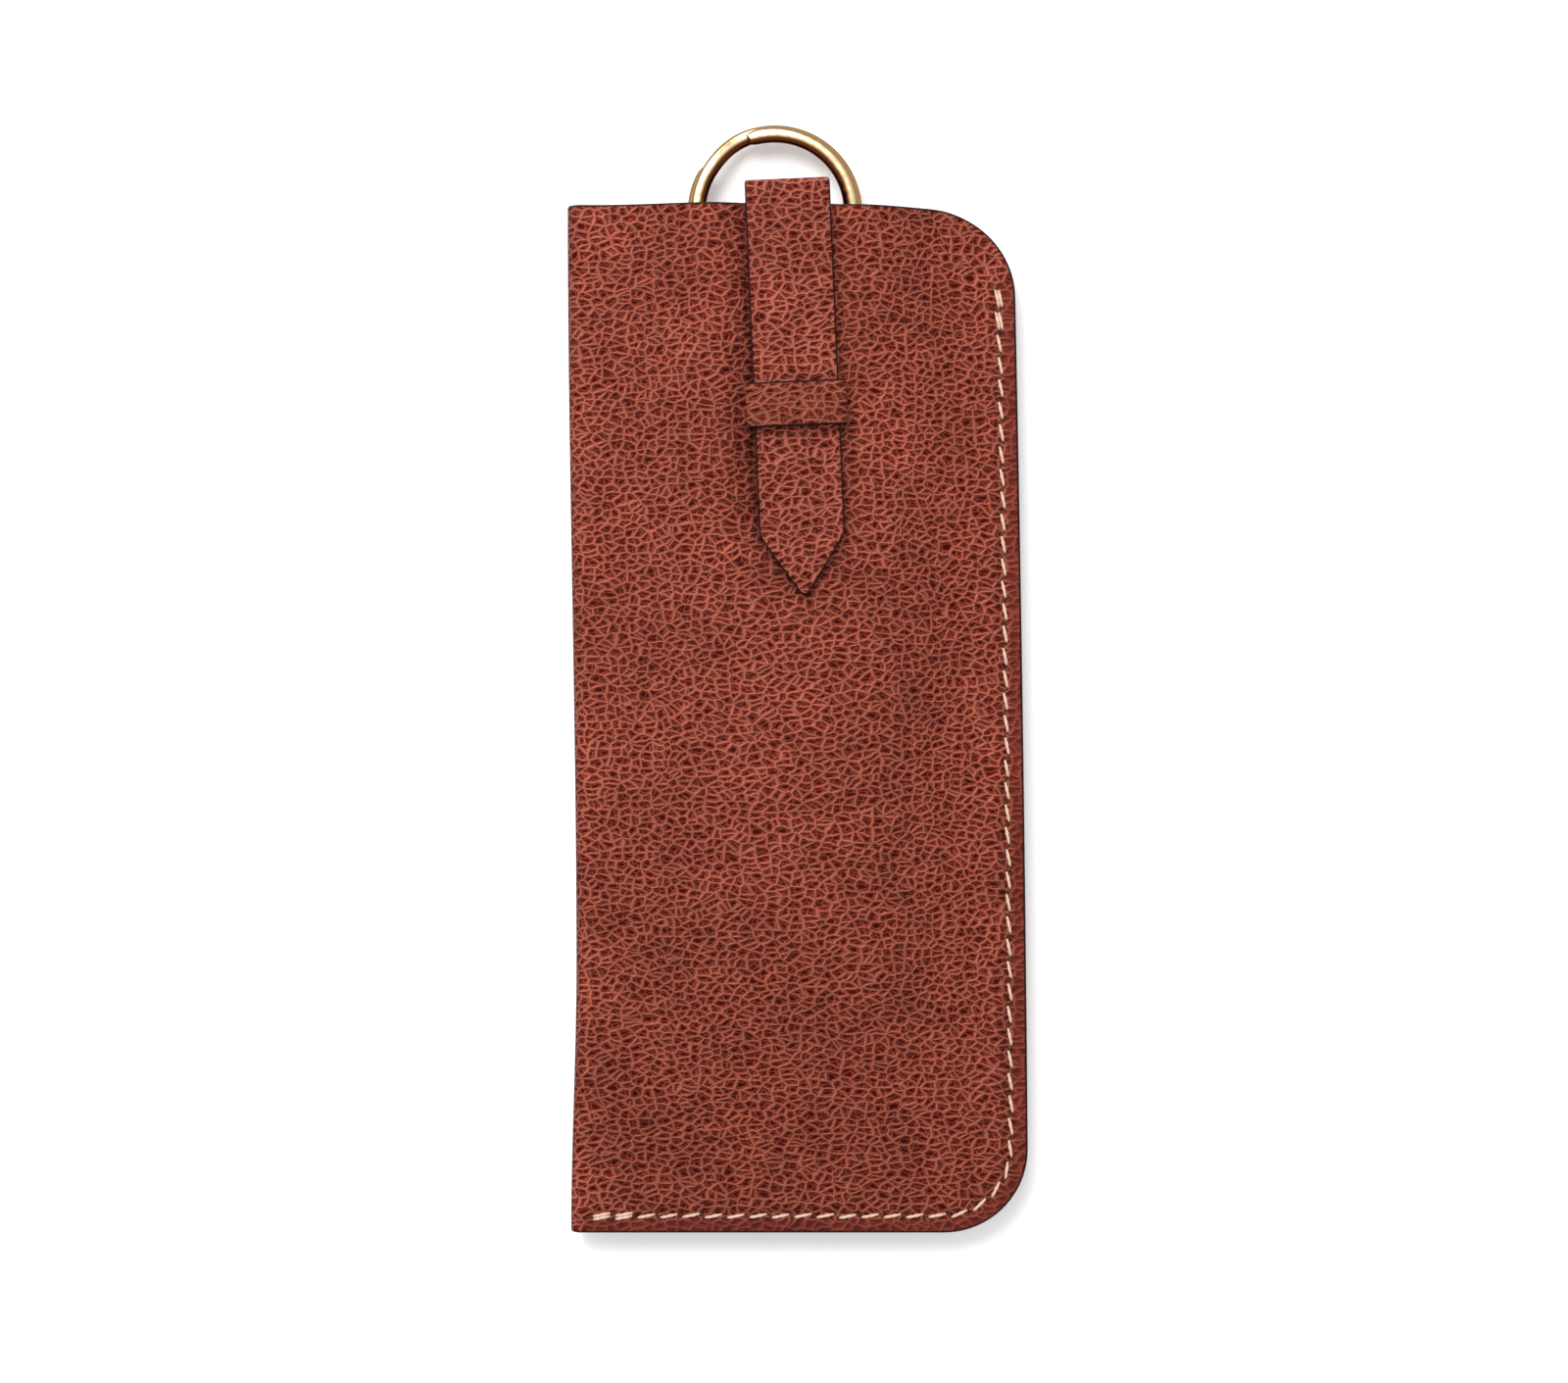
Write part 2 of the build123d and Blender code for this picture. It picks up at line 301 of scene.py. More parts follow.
# %% Rows and columns of the sheet
near_edge = np.array([0, 0.05, 0.15, 0.3, 0.5, 0.8, 1.2, 1.7, 2.2, 2.7, 3.2, 3.8, 4.6, 5.6, 7.0])
fold_angles = np.linspace(90, -90, 14)[1:-1]
long_middle = np.linspace(near_edge[-1], length - near_edge[-1], 172)[1:-1]
row_d = np.concatenate([near_edge, long_middle, (length - near_edge)[::-1]])
across_share = np.linspace(0, 1, 112)[1:]
print("sheet", len(row_d), "rows")


def face_columns(d):
    """x of every column on the front, from the sewn edge to where the fold starts."""
    end = row_end(d)
    inner = end - near_edge[-1]
    return np.concatenate([end - near_edge, inner + (fold_centre(d) - inner) * across_share])


def sheet_row(d, offset, outside):
    """One row of points at offset from the seam's plane: the front, the fold and the back."""
    x = face_columns(d)
    trim = pressed_in(x, d) if outside else 0 * x
    front = seam_z + offset + front_lie(x, d) - trim
    back = np.maximum(seam_z - offset - back_lie(x, d) + trim, 0)
    r, a = offset + fold_gap(d), np.radians(fold_angles)
    end = min(d, length - d)
    r = r - (edge_round - math.sqrt(edge_round**2 - max(edge_round - end, 0) ** 2)) * outside
    fold_x = fold_centre(d) - r * np.cos(a)
    all_x = np.concatenate([x, fold_x, x[::-1]])
    all_z = np.concatenate([front, seam_z + r * np.sin(a), back[::-1]])
    return np.stack([all_x, place_y(all_x, d), all_z], 1)


def row_marks(d):
    """Along one row: the distance to the cut edge, the tone with its painted light and shade, and how
    flat the seam pressed it.
    """
    x = face_columns(d)
    e = edge_distance(x, d)
    round_fold = np.full(len(fold_angles), min(d, length - d))
    cut = np.concatenate([e, round_fold, e[::-1]])
    # Along the fold: a little lighter, with a thin darker line where it turns furthest out.
    fold_tone = 1.05 - 0.6 * bump_at(fold_angles, 0, 32)
    tone_and_painted_shade = np.concatenate([tone_and_painted_shade_at(x, d), fold_tone, np.ones(len(x))])
    beyond_seam = seam_share(x, place_y(x, d)) * (1 - ramp(e, 1.8, 2.7))
    pressed = np.concatenate([beyond_seam, 0 * fold_angles, beyond_seam[::-1]])
    return cut, tone_and_painted_shade, pressed


# %% [markdown]
# Every mesh below is made the same way, from points and four-sided faces. It keeps a map called
# "hide", in metres along the material, and up to three numbers at each point: "cut", the distance in
# millimetres to the nearest cut edge, the tone, the leather's lightness with painted light and shade
# in it, and "pressed", how flat the grain is. The finish reads them, so it stays put when a piece
# moves.

# %% Making a mesh from grids
def grid_faces(rows, columns, start=0, closed=False, flip=False):
    """Four-sided faces between the rows. A closed grid's last column meets its first."""
    steps = columns if closed else columns - 1
    r, c = np.meshgrid(np.arange(rows - 1), np.arange(steps), indexing="ij")
    after = (c + 1) % columns
    here, below = r * columns, (r + 1) * columns
    quads = np.stack([here + c, here + after, below + after, below + c], -1)
    quads = quads.reshape(-1, 4) + start
    return quads[:, ::-1] if flip else quads


def tube_ends(rows, columns, start=0):
    """The two faces that close a tube made of rows, one at each end."""
    last = start + (rows - 1) * columns
    return [list(range(start, start + columns)), list(range(last + columns - 1, last - 1, -1))]


def make_piece(name, points, faces, material, hide=None, cut=None, sharp=40, tone_and_painted_shade=None,
               pressed=None):
    """Makes the mesh and its object, and smooths every edge flatter than sharp degrees."""
    mesh = bpy.data.meshes.new(name)
    mesh.from_pydata((np.asarray(points) * mm).tolist(), [], [list(map(int, f)) for f in faces])
    mesh.materials.append(material)
    if hide is not None:
        layer = mesh.uv_layers.new(name="hide")
        corner = np.zeros(len(mesh.loops), int)
        mesh.loops.foreach_get("vertex_index", corner)
        layer.data.foreach_set("uv", (np.asarray(hide)[corner] * mm).astype(np.float32).ravel())
    tone_and_painted_shade = np.ones(len(points)) if tone_and_painted_shade is None else tone_and_painted_shade
    for kind, values in (("cut", cut), ("tone_and_painted_shade", tone_and_painted_shade), ("pressed", pressed)):
        if values is not None:
            kept = mesh.attributes.new(kind, "FLOAT", "POINT")
            kept.data.foreach_set("value", np.asarray(values, np.float32).ravel())
    mesh.polygons.foreach_set("use_smooth", np.ones(len(mesh.polygons), bool))
    mesh.set_sharp_from_angle(angle=math.radians(sharp))
    mesh.update()
    piece = bpy.data.objects.new(name, mesh)
    bpy.context.scene.collection.objects.link(piece)
    size = np.ptp(np.asarray(points), axis=0)
    print(name, len(mesh.polygons), "faces,", np.round(size, 1), "mm")
    return piece


# %% [markdown]
# The leather and its lining are the same folded sheet, the lining thinner and further in.

# %% A folded sheet
def folded_sheet(name, near, far, material, outside):
    outer = np.array([sheet_row(d, far, outside) for d in row_d])
    inner = np.array([sheet_row(d, near, False) for d in row_d])
    cut, tone_and_painted_shade, pressed = (np.array(marks) for marks in zip(*map(row_marks, row_d)))
    rows, columns = outer.shape[:2]
    count = rows * columns
    outer_ids = np.arange(count).reshape(rows, columns)
    inner_ids = outer_ids + count
    faces = [grid_faces(rows, columns), grid_faces(rows, columns, count, flip=True)]
    borders = [(outer_ids[0][::-1], inner_ids[0][::-1]), (outer_ids[-1], inner_ids[-1])]
    borders += [(outer_ids[:, 0], inner_ids[:, 0]), (outer_ids[::-1, -1], inner_ids[::-1, -1])]
    for a, b in borders:
        faces.append(np.stack([a[:-1], a[1:], b[1:], b[:-1]], 1))
    step = np.linalg.norm(np.diff(outer[:, :, ::2], axis=1), axis=2)
    run = np.concatenate([np.zeros((rows, 1)), np.cumsum(step, 1)], 1)
    middle = columns // 2
    hide = np.stack([run[:, middle:middle + 1] - run, outer[:, :, 1]], -1).reshape(-1, 2)
    points = np.concatenate([outer.reshape(-1, 3), inner.reshape(-1, 3)])
    cut, tone_and_painted_shade, pressed = (np.tile(marks.ravel(), 2) for marks in (cut, tone_and_painted_shade, pressed))
    return make_piece(name, points, np.concatenate(faces), material, np.tile(hide, (2, 1)), cut,
                      tone_and_painted_shade=tone_and_painted_shade, pressed=pressed)


# %% [markdown]
# Finishes. A small helper adds a shader node and fills its inputs, so that each recipe below reads
# as a list of steps. A value that is the same all over goes straight on the shader.

# %% Node helper
class Recipe:
    """A material's nodes, added one by one. Inputs are plain values or other nodes' outputs."""

    def __init__(self, name):
        self.material = bpy.data.materials.new(name)
        self.material.use_nodes = True
        self.tree = self.material.node_tree
        self.tree.nodes.clear()

    def add(self, kind, inputs, out=0, **settings):
        node = self.tree.nodes.new("ShaderNode" + kind)
        for key, value in settings.items():
            setattr(node, key, value)
        for key, value in inputs.items():
            if isinstance(value, bpy.types.NodeSocket):
                self.tree.links.new(value, node.inputs[key])
            else:
                node.inputs[key].default_value = value
        return node.outputs[out] if node.outputs else None

    def mark(self, name):
        """A number kept on the mesh's points, such as "cut"."""
        return self.add("Attribute", {}, out=2, attribute_name=name)

    def math(self, operation, a, b=0.0):
        return self.add("Math", {0: a, 1: b}, operation=operation)

    def step(self, value, low, high, to_low=0.0, to_high=1.0):
        """Smoothly from to_low below low to to_high above high."""
        ends = {0: value, 1: low, 2: high, 3: to_low, 4: to_high}
        return self.add("MapRange", ends, interpolation_type="SMOOTHSTEP")

    def mix(self, share, a, b):
        return self.add("Mix", {0: share, 6: a, 7: b}, out=2, data_type="RGBA")

    def ramp(self, value, *stops):
        out = self.add("ValToRGB", {0: value})
        colours = out.node.color_ramp.elements
        while len(colours) < len(stops):
            colours.new(0.5)
        for element, (place, colour) in zip(colours, stops):
            element.position = place
            element.color = colour
        return out

    def finish(self, **inputs):
        surface = self.add("BsdfPrincipled", {k.replace("_", " "): v for k, v in inputs.items()})
        self.add("OutputMaterial", {"Surface": surface})
        return self.material


def shade(red, green, blue):
    """A colour given as it looks on a screen, 0 to 255, as a shader wants it."""
    seen = [c / 255 for c in (red, green, blue)]
    linear = [c / 12.92 if c <= 10 / 255 else ((c + 0.055) / 1.055) ** 2.4 for c in seen]
    return (*linear, 1.0)


# %% [markdown]
# Pebbled leather. The grain is a net of pale raised lines round small darker cells, a little wider
# than they are long. A Voronoi pattern's distance to its cells' edges gives both the net and the
# cells' dark rims, and a second, finer net breaks the cells up. One side of each cell is painted
# lighter than the other, as a light from above would shade the pebbles: painted light and shade.

# %% Pebbles
coarse_scale, fine_scale = (500.0, 800.0, 0.0), (760.0, 1420.0, 0.0)  # cells in a metre
drift_scale, drift_by = 260.0, (0.0024, 0.0018, 0.0)
# Where the painted light on the pebbles comes from, and how strong it is.
painted_light_from, painted_emboss_strength = (-0.1, 0.17, 0.0), 1.9
net_edges = {"feature": "DISTANCE_TO_EDGE", "voronoi_dimensions": "2D"}


def wandering(r, uv):
    """The hide's own map, moved about a little, so that no line of the grain is straight."""
    drift = r.add("TexNoise", {"Vector": uv, "Scale": drift_scale, "Detail": 2.0}, out=1)
    moved = r.add("VectorMath", {0: drift, 1: (0.5, 0.5, 0.5)}, operation="SUBTRACT")
    moved = r.add("VectorMath", {0: moved, 1: drift_by}, operation="MULTIPLY")
    return r.add("VectorMath", {0: uv, 1: moved}, operation="ADD")


def pebbles(r, uv):
    """The distance from the grain's net, a tint for each cell, and the painted light that makes one
    side of each cell lighter and the other darker.
    """
    moved = wandering(r, uv)
    coarse = r.add("VectorMath", {0: moved, 1: coarse_scale}, operation="MULTIPLY")
    fine = r.add("VectorMath", {0: moved, 1: fine_scale}, operation="MULTIPLY")
    big = r.add("TexVoronoi", {"Vector": coarse, "Scale": 1.0}, **net_edges)
    small = r.add("TexVoronoi", {"Vector": fine, "Scale": 1.0}, **net_edges)
    tint = r.add("TexVoronoi", {"Vector": coarse, "Scale": 1.0}, out=1, voronoi_dimensions="2D")
    both = r.math("MINIMUM", big, r.math("ADD", r.math("MULTIPLY", small, 1.3), 0.035))
    # Painted light and shade: the net sampled a step towards the light, against the net here, lightens
    # one side of each pebble and darkens the other.
    toward_light = r.add("VectorMath", {0: coarse, 1: painted_light_from}, operation="ADD")
    toward_light = r.add("TexVoronoi", {"Vector": toward_light, "Scale": 1.0}, **net_edges)
    painted_emboss = r.math("MULTIPLY_ADD", r.math("SUBTRACT", toward_light, big), painted_emboss_strength)
    painted_emboss.node.inputs[2].default_value = 1.0
    return both, r.add("SeparateColor", {0: tint}), painted_emboss


# %% [markdown]
# The grain is then coloured. Slow noise changes it from place to place, as drum dyeing does, and
# every cell takes the dye a little differently. Beyond the seam the grain is pressed nearly flat,
# and close to a cut edge it gives way to dark edge paint, laid on by hand and so a little ragged.

# %% Leather
flat_grain = (104, 40, 32)


def leather(name, net, rim, cell, paint=(30, 13, 11), lap=0.4, depth=0.7):
    """net, rim and cell are the grain's colours, the darkness of the rims and cells partly the dye and
    partly painted shade in the pits, and lap is how far the edge paint comes over.
    """
    r = Recipe(name)
    uv = r.add("UVMap", {}, uv_map="hide")
    both, by_cell, painted_emboss = pebbles(r, uv)
    cloud = r.add("TexNoise", {"Vector": uv, "Scale": 38.0, "Detail": 3.0})
    speck = r.add("TexNoise", {"Vector": uv, "Scale": 2600.0, "Detail": 3.0})
    rough_line = r.math("SUBTRACT", speck, 0.5)
    ragged = r.math("ADD", both, r.math("MULTIPLY", rough_line, 0.12))
    net, rim, cell = shade(*net), shade(*rim), shade(*cell)
    # The dark rims and cells are partly the leather's dye and partly painted shade in the pits between
    # the raised lines.
    grain = r.ramp(ragged, (0.0, net), (0.06, net), (0.17, rim), (0.36, cell))
    grain = r.mix(r.math("MULTIPLY", r.mark("pressed"), 0.7), grain, shade(*flat_grain))
    uneven = r.math("MULTIPLY", r.step(cloud, 0.25, 0.75, 0.86, 1.14),
                    r.step(by_cell, 0.0, 1.0, 0.86, 1.14))
    # The tone mark carries painted light and shade, and the pebbles' one-sided painted light is
    # multiplied in here.
    uneven = r.math("MULTIPLY", r.math("MULTIPLY", uneven, r.mark("tone_and_painted_shade")), painted_emboss)
    colour = r.add("HueSaturation", {"Value": uneven, "Color": grain})
    wander = r.math("ADD", r.mark("cut"), r.math("MULTIPLY", rough_line, 0.25))
    painted = r.step(wander, lap * 0.6, lap * 1.2, 1.0, 0.0)
    colour = r.mix(painted, colour, shade(*paint))
    rough = r.add("Mix", {0: painted, 2: r.step(both, 0.03, 0.2, 0.5, 0.66), 3: 0.42})
    height = r.math("ADD", r.step(both, 0.02, 0.2, 1.0, 0.0), r.math("MULTIPLY", speck, 0.25))
    height = r.math("MULTIPLY", height, r.math("SUBTRACT", 1.0, painted))
    relief = r.add("Bump", {"Strength": depth, "Distance": 0.22 * mm, "Height": height})
    return r.finish(Base_Color=colour, Roughness=rough, Normal=relief, Specular_IOR_Level=0.06)


case_leather = leather("case leather", (136, 73, 58), (98, 27, 14), (58, 1, 0))
print("leather", len(case_leather.node_tree.nodes), "nodes")

# %% [markdown]
# Suede lining: a fine nap with no grain, soft at glancing angles, in a warm natural tan. A slow
# noise gives the brushed patches that suede always has, and a fast one its short fibres.

# %% Suede
def suede():
    r = Recipe("suede lining")
    uv = r.add("UVMap", {}, uv_map="hide")
    brushed = r.add("TexNoise", {"Vector": uv, "Scale": 120.0, "Detail": 4.0})
    nap = r.add("TexNoise", {"Vector": uv, "Scale": 5200.0, "Detail": 2.0})
    both = r.math("ADD", r.math("MULTIPLY", brushed, 0.6), r.math("MULTIPLY", nap, 0.4))
    colour = r.ramp(both, (0.3, shade(122, 88, 62)), (0.7, shade(168, 131, 98)))
    relief = r.add("Bump", {"Strength": 0.6, "Distance": 0.08 * mm, "Height": nap})
    return r.finish(Base_Color=colour, Roughness=0.95, Normal=relief, Sheen_Weight=0.5,
                    Sheen_Roughness=0.4)


# %% [markdown]
# Now the pouch itself. A cloth simulation would suit a limp fabric, but this leather is firm and
# holds the shape it was given, so both layers are drawn to their lie directly, and they stay
# exactly the same distance apart, as glued layers do.

# %% The folded leather and its lining
pouch = folded_sheet("pouch_leather", leather_near, leather_far, case_leather, True)
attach(pouch, "case")
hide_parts("outer_leather")
pouch_lining = folded_sheet("pouch_lining", lining_near, lining_far, suede(), False)
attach(pouch_lining, "case")
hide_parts("lining")

# %% [markdown]
# The strap is a flat band swept along a bent line. The line is drawn as straight runs whose corners
# are rounded, as leather turns: a wide turn under the mouth, where the ring hangs, and a tight one
# over the top. At every step along it the band has the same section, thin with rounded edges.

# %% Sweeping a flat band along a bent line
def rounded_line(corners, radii, step=0.8):
    """Points and directions along straight runs whose inner corners are rounded, in two numbers."""
    corners = [np.array(c, float) for c in corners]
    ways = [(b - a) / np.linalg.norm(b - a) for a, b in zip(corners, corners[1:])]
    points, headings = [], []
    at = corners[0]
    for i in range(1, len(corners)):
        way = ways[i - 1]
        last = i == len(corners) - 1
        r = 0 if last else radii[i - 1]
        stop = corners[i] - way * r
        count = max(int(np.linalg.norm(stop - at) / step), 1)
        for k in range(count + (1 if last else 0)):
            points.append(at + (stop - at) * k / count)
            headings.append(way)
        if last:
            break
        on = ways[i]
        turns = max(int(r * math.pi / 2 / min(step, 0.35 * r + 0.1)), 6)
        for k in range(turns):
            a = math.pi / 2 * k / turns
            points.append(stop + way * r * math.sin(a) + on * r * (1 - math.cos(a)))
            headings.append(way * math.cos(a) + on * math.sin(a))
        at = corners[i] + on * r
    return np.array(points), np.array(headings)


# %% [markdown]
# The band's section has rounded edges, drawn thinner towards a cut end, where it is sanded too.

# %% A band and its section
def line_run(points):
    """The length along a line at each of its points."""
    return np.concatenate([[0], np.cumsum(np.linalg.norm(np.diff(points, axis=0), axis=1))])


def band_section(half, thick, edge_r, flats=9, turns=5):
    """Points round a flat section, as (across, up): along the grain side, then the flesh side."""
    flat = np.linspace(-1, 1, flats)[1:-1] * max(half - edge_r, 0.01)
    a = np.linspace(0, math.pi / 2, turns)
    side = half - edge_r + edge_r * np.sin(a)
    lift = thick / 2 - edge_r + edge_r * np.cos(a)
    top = [(-s, z) for s, z in zip(side[::-1], lift[::-1])]
    top += [(f, thick / 2) for f in flat] + list(zip(side, lift))
    return np.array(top + [(-x, -z) for x, z in top])


def band(name, points, normals, sides, halves, thick, material, hide_at,
         cut_ends=(False, False), edge_r=0.5, turned=False):
    """Sweeps the section along points. hide_at is the length along the hide at each point."""
    rings, hide, cut = [], [], []
    total = hide_at[-1] - hide_at[0]
    for p, n, s, half, at in zip(points, normals, sides, halves, hide_at):
        to_start = at - hide_at[0] if cut_ends[0] else total
        into = min(to_start, hide_at[-1] - at if cut_ends[1] else total)
        squeeze = math.sqrt(1 - (1 - min(into / edge_r, 1)) ** 2) * 0.45 + 0.55
        section = band_section(half, thick * squeeze, min(edge_r * squeeze, thick * squeeze / 2, half))
        rings.append(p + section[:, :1] * s + section[:, 1:] * n)
        along = np.full(len(section), at)
        hide.append(np.stack([along, section[:, 0]] if turned else [section[:, 0], -along], 1))
        cut.append(np.minimum(half - np.abs(section[:, 0]), into))
    rows, columns = len(rings), len(rings[0])
    faces = grid_faces(rows, columns, closed=True).tolist() + tube_ends(rows, columns)
    return make_piece(name, np.concatenate(rings), faces, material, np.concatenate(hide),
                      np.concatenate(cut))


# %% [markdown]
# The strap's own pieces. One strap of leather bends at three places when it is drawn back through its
# keeper, so it is made in five lengths that share one line and one map: the root on the back, the fold
# over the mouth, the hump, the length at the keeper and the pointed tongue. The root goes with the
# case and the tongue with its own body, and each length's ends meet its neighbours exactly.

# %% The strap's line
strap_low_z, strap_high_z = box_mm("strap_upper")[0][2], box_mm("strap_upper")[1][2]
strap_mid_z = (strap_low_z + strap_high_z) / 2
strap_thick = strap_high_z - strap_low_z
root_mid_z = box_mm("strap_root")[0][2] + strap_thick / 2
root_u, bow_u = 44.0, -3.5
under_turn, over_turn, line_step = 10.5, 2.0, 0.7
root_end_z = 13.0  # where the root's length ends and the fold begins
across = np.array([math.cos(strap_tilt), math.sin(strap_tilt), 0])
down = np.array([math.sin(strap_tilt), -math.cos(strap_tilt), 0])
up = np.array([0, 0, 1.0])
line, heading = rounded_line(
    [(root_u, root_mid_z), (bow_u, root_mid_z), (bow_u, strap_mid_z), (tip_u, strap_mid_z)],
    [under_turn, over_turn], line_step)
run = line_run(line)
over_mouth = run[np.argmin(np.abs(line[:, 0] - bow_u) + np.abs(line[:, 1] - root_end_z))]
top_run = run[-1] - tip_u
print("strap", round(float(run[-1]), 1), "mm along its line")


def strap_points(u, w, z):
    """The place that is u down the strap, w across it and z high."""
    return np.array([strap_x, strap_y, 0]) + u * down + w * across + z * up


# %% [markdown]
# One length of the strap is a stretch of that line. Where it is cut, the steps crowd together, so
# that the sanded end is round.

# %% A length of the strap
start_steps = np.array([0, 0.03, 0.1, 0.25, 0.5])
end_steps = np.array([1.0, 0.7, 0.45, 0.25, 0.1, 0.03, 0])


def strap_length(name, start, end, material, cut_ends):
    """One length of the strap, between two places along its line."""
    inside = run[(run > start + 0.05) & (run < end - 0.05)]
    at = np.concatenate([[start], inside, [end]])
    if cut_ends[1]:
        at = np.concatenate([at[at < end - end_steps[0]], end - end_steps])
    if cut_ends[0]:
        at = np.concatenate([start + start_steps, at[at > start + 0.7]])
    uz = np.stack([np.interp(at, run, line[:, i]) for i in (0, 1)], 1)
    way = np.stack([np.interp(at, run, heading[:, i]) for i in (0, 1)], 1)
    way /= np.linalg.norm(way, axis=1)[:, None]
    points = np.array([strap_points(u, 0, z) for u, z in uz])
    normals = np.array([-b * down + a * up for a, b in way])
    along_top = at - top_run
    taper = np.clip((along_top - shoulder_u) / (tip_u - shoulder_u), 0, 1)
    halves = strap_half - (strap_half - strap_half_tip) * taper ** 1.06
    sides = [across] * len(at)
    return band(name, points, normals, sides, halves, strap_thick, material, at, cut_ends)


# %% [markdown]
# The five lengths, from the root to the tip.

# %% The strap, in five lengths
strap_leather = leather("strap leather", (141, 77, 62), (98, 27, 14), (56, 1, 0), lap=0.28)
fold_end, hump_end, keeper_end = top_run + 4, top_run + 25, top_run + 44
pieces = {
    "strap_root_run": (0, over_mouth, (True, False)),
    "strap_fold": (over_mouth, fold_end, (False, False)),
    "strap_hump": (fold_end, hump_end, (False, False)),
    "strap_at_keeper": (hump_end, keeper_end, (False, False)),
    "strap_point": (keeper_end, run[-1], (False, True)),
}
strap = {name: strap_length(name, start, end, strap_leather, cut_ends)
         for name, (start, end, cut_ends) in pieces.items()}


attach(strap["strap_root_run"], "case")
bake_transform(strap["strap_fold"])
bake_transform(strap["strap_hump"])
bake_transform(strap["strap_at_keeper"])
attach(strap["strap_point"], "tongue")
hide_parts("strap_root")
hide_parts("strap_upper")
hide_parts("strap_lower")
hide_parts("strap_tongue")

# %% [markdown]
# The keeper is a narrower, thinner band across the strap. Its ends go through two slits in the
# front and turn inwards under the lining, so only a low bridge shows, rubbed a little browner than
# the rest. It is swept in the same way, with its line drawn across the strap.

# %% Keeper
keeper_u, keeper_half, keeper_thick = 34.1, 3.8, 1.0
bridge_w, tab_w = 8.0, 1.5  # half the bridge's span, and where each tab ends
keeper_low, keeper_high = box_mm("keeper")
keeper_top, keeper_tab = keeper_high[2] - keeper_thick / 2, keeper_low[2] + keeper_thick / 2
keeper_leather = leather("keeper leather", (127, 69, 53), (92, 30, 16), (56, 6, 1), lap=0.36,
                         depth=0.5)
bridge, bridge_way = rounded_line(
    [(-tab_w, keeper_tab), (-bridge_w, keeper_tab), (-bridge_w, keeper_top),
     (bridge_w, keeper_top), (bridge_w, keeper_tab), (tab_w, keeper_tab)],
    [0.9, 1.3, 1.3, 0.9], 0.6)
elsewhere_on_hide = 300  # cut from another part of the hide, so its grain differs from the strap's
keeper = band(
    "keeper_band",
    np.array([strap_points(keeper_u, w, z) for w, z in bridge]),
    np.array([-b * across + a * up for a, b in bridge_way]),
    [-down] * len(bridge), [keeper_half] * len(bridge), keeper_thick, keeper_leather,
    line_run(bridge) + elsewhere_on_hide, (True, True), edge_r=0.35, turned=True)
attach(keeper, "case")
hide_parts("keeper")

# %% [markdown]
# Thread. Each stitch is two plies of waxed cream thread twisted together, pulled down into the awl
# holes at both ends and leaning a little, as saddle stitching does. The first and last two stitches
# are sewn twice, so they are double. They are shaped one by one along the seam's line.

# %% Thread's finish
def thread_finish():
    r = Recipe("waxed thread")
    uv = r.add("UVMap", {}, uv_map="hide")
    fibres = r.add("TexNoise", {"Vector": uv, "Scale": 5000.0, "Detail": 3.0})
    colour = r.ramp(fibres, (0.3, shade(190, 152, 130)), (0.7, shade(222, 190, 168)))
    relief = r.add("Bump", {"Strength": 0.4, "Distance": 0.04 * mm, "Height": fibres})
    return r.finish(Base_Color=colour, Roughness=0.6, Normal=relief)


# Painted shade: the dark that the depth of a real awl hole would give.
def hole_shade_finish():
    r = Recipe("awl hole painted shade")
    noise = r.add("TexNoise", {"Vector": r.add("UVMap", {}, uv_map="hide"), "Scale": 3000.0})
    colour = r.ramp(noise, (0.3, shade(30, 12, 9)), (0.7, shade(52, 22, 16)))
    return r.finish(Base_Color=colour, Roughness=0.8)


# %% [markdown]
# A stitch is a short tube that rises in the middle and thins at both ends, where the awl holes
# swallow it. Its section is a little oval and turns along the thread, which is the plies' twist.

# %% One stitch, and a seam of them
stitch_rows, stitch_sides = 13, 10
round_stitch = np.linspace(0, 2 * math.pi, stitch_sides, endpoint=False)


def stitch(start, end, out, thick, arch):
    """A twisted, arched stitch from start to end. out points away from the leather."""
    long = np.linalg.norm(end - start)
    side = np.cross((end - start) / long, out)
    rings, hide = [], []
    a = round_stitch
    for k in np.linspace(0, 1, stitch_rows):
        centre = start + (end - start) * k + out * arch * (math.sin(math.pi * k) ** 0.6 - 0.75)
        r = thick / 2 * (0.35 + 0.65 * math.sin(math.pi * min(max(k, 0.02), 0.98)) ** 0.4)
        twisted = r * (1 + 0.16 * np.cos(2 * (a - 4.0 * k * long / thick * 0.35)))
        across_it = np.outer(np.cos(a) * twisted, side)
        rings.append(centre + across_it + np.outer(np.sin(a) * twisted * 0.85, out))
        hide.append(np.stack([a * thick / 2, np.full(len(a), k * long)], 1))
    return np.concatenate(rings), np.concatenate(hide)


def seam_piece(name, stitches, material):
    """One mesh of all the stitches, each with its own stretch of the thread's map."""
    points, hide, faces = [], [], []
    for k, (start, end, out, thick, arch) in enumerate(stitches):
        p, h = stitch(start, end, out, thick, arch)
        first = sum(map(len, points))
        points.append(p)
        hide.append(h + [0, 7.0 * k])
        faces += grid_faces(stitch_rows, stitch_sides, first, closed=True).tolist()
        faces += tube_ends(stitch_rows, stitch_sides, first)
    return make_piece(name, np.concatenate(points), faces, material, np.concatenate(hide), sharp=80)


# %% [markdown]
# The main seam runs down the side at an even distance from the edge, round the corner and along
# the end, to just short of the fold. Its length is shared out between whole stitches.

# %% The main seam's line
seam_first_y, seam_last_x = 66.7, -35.4


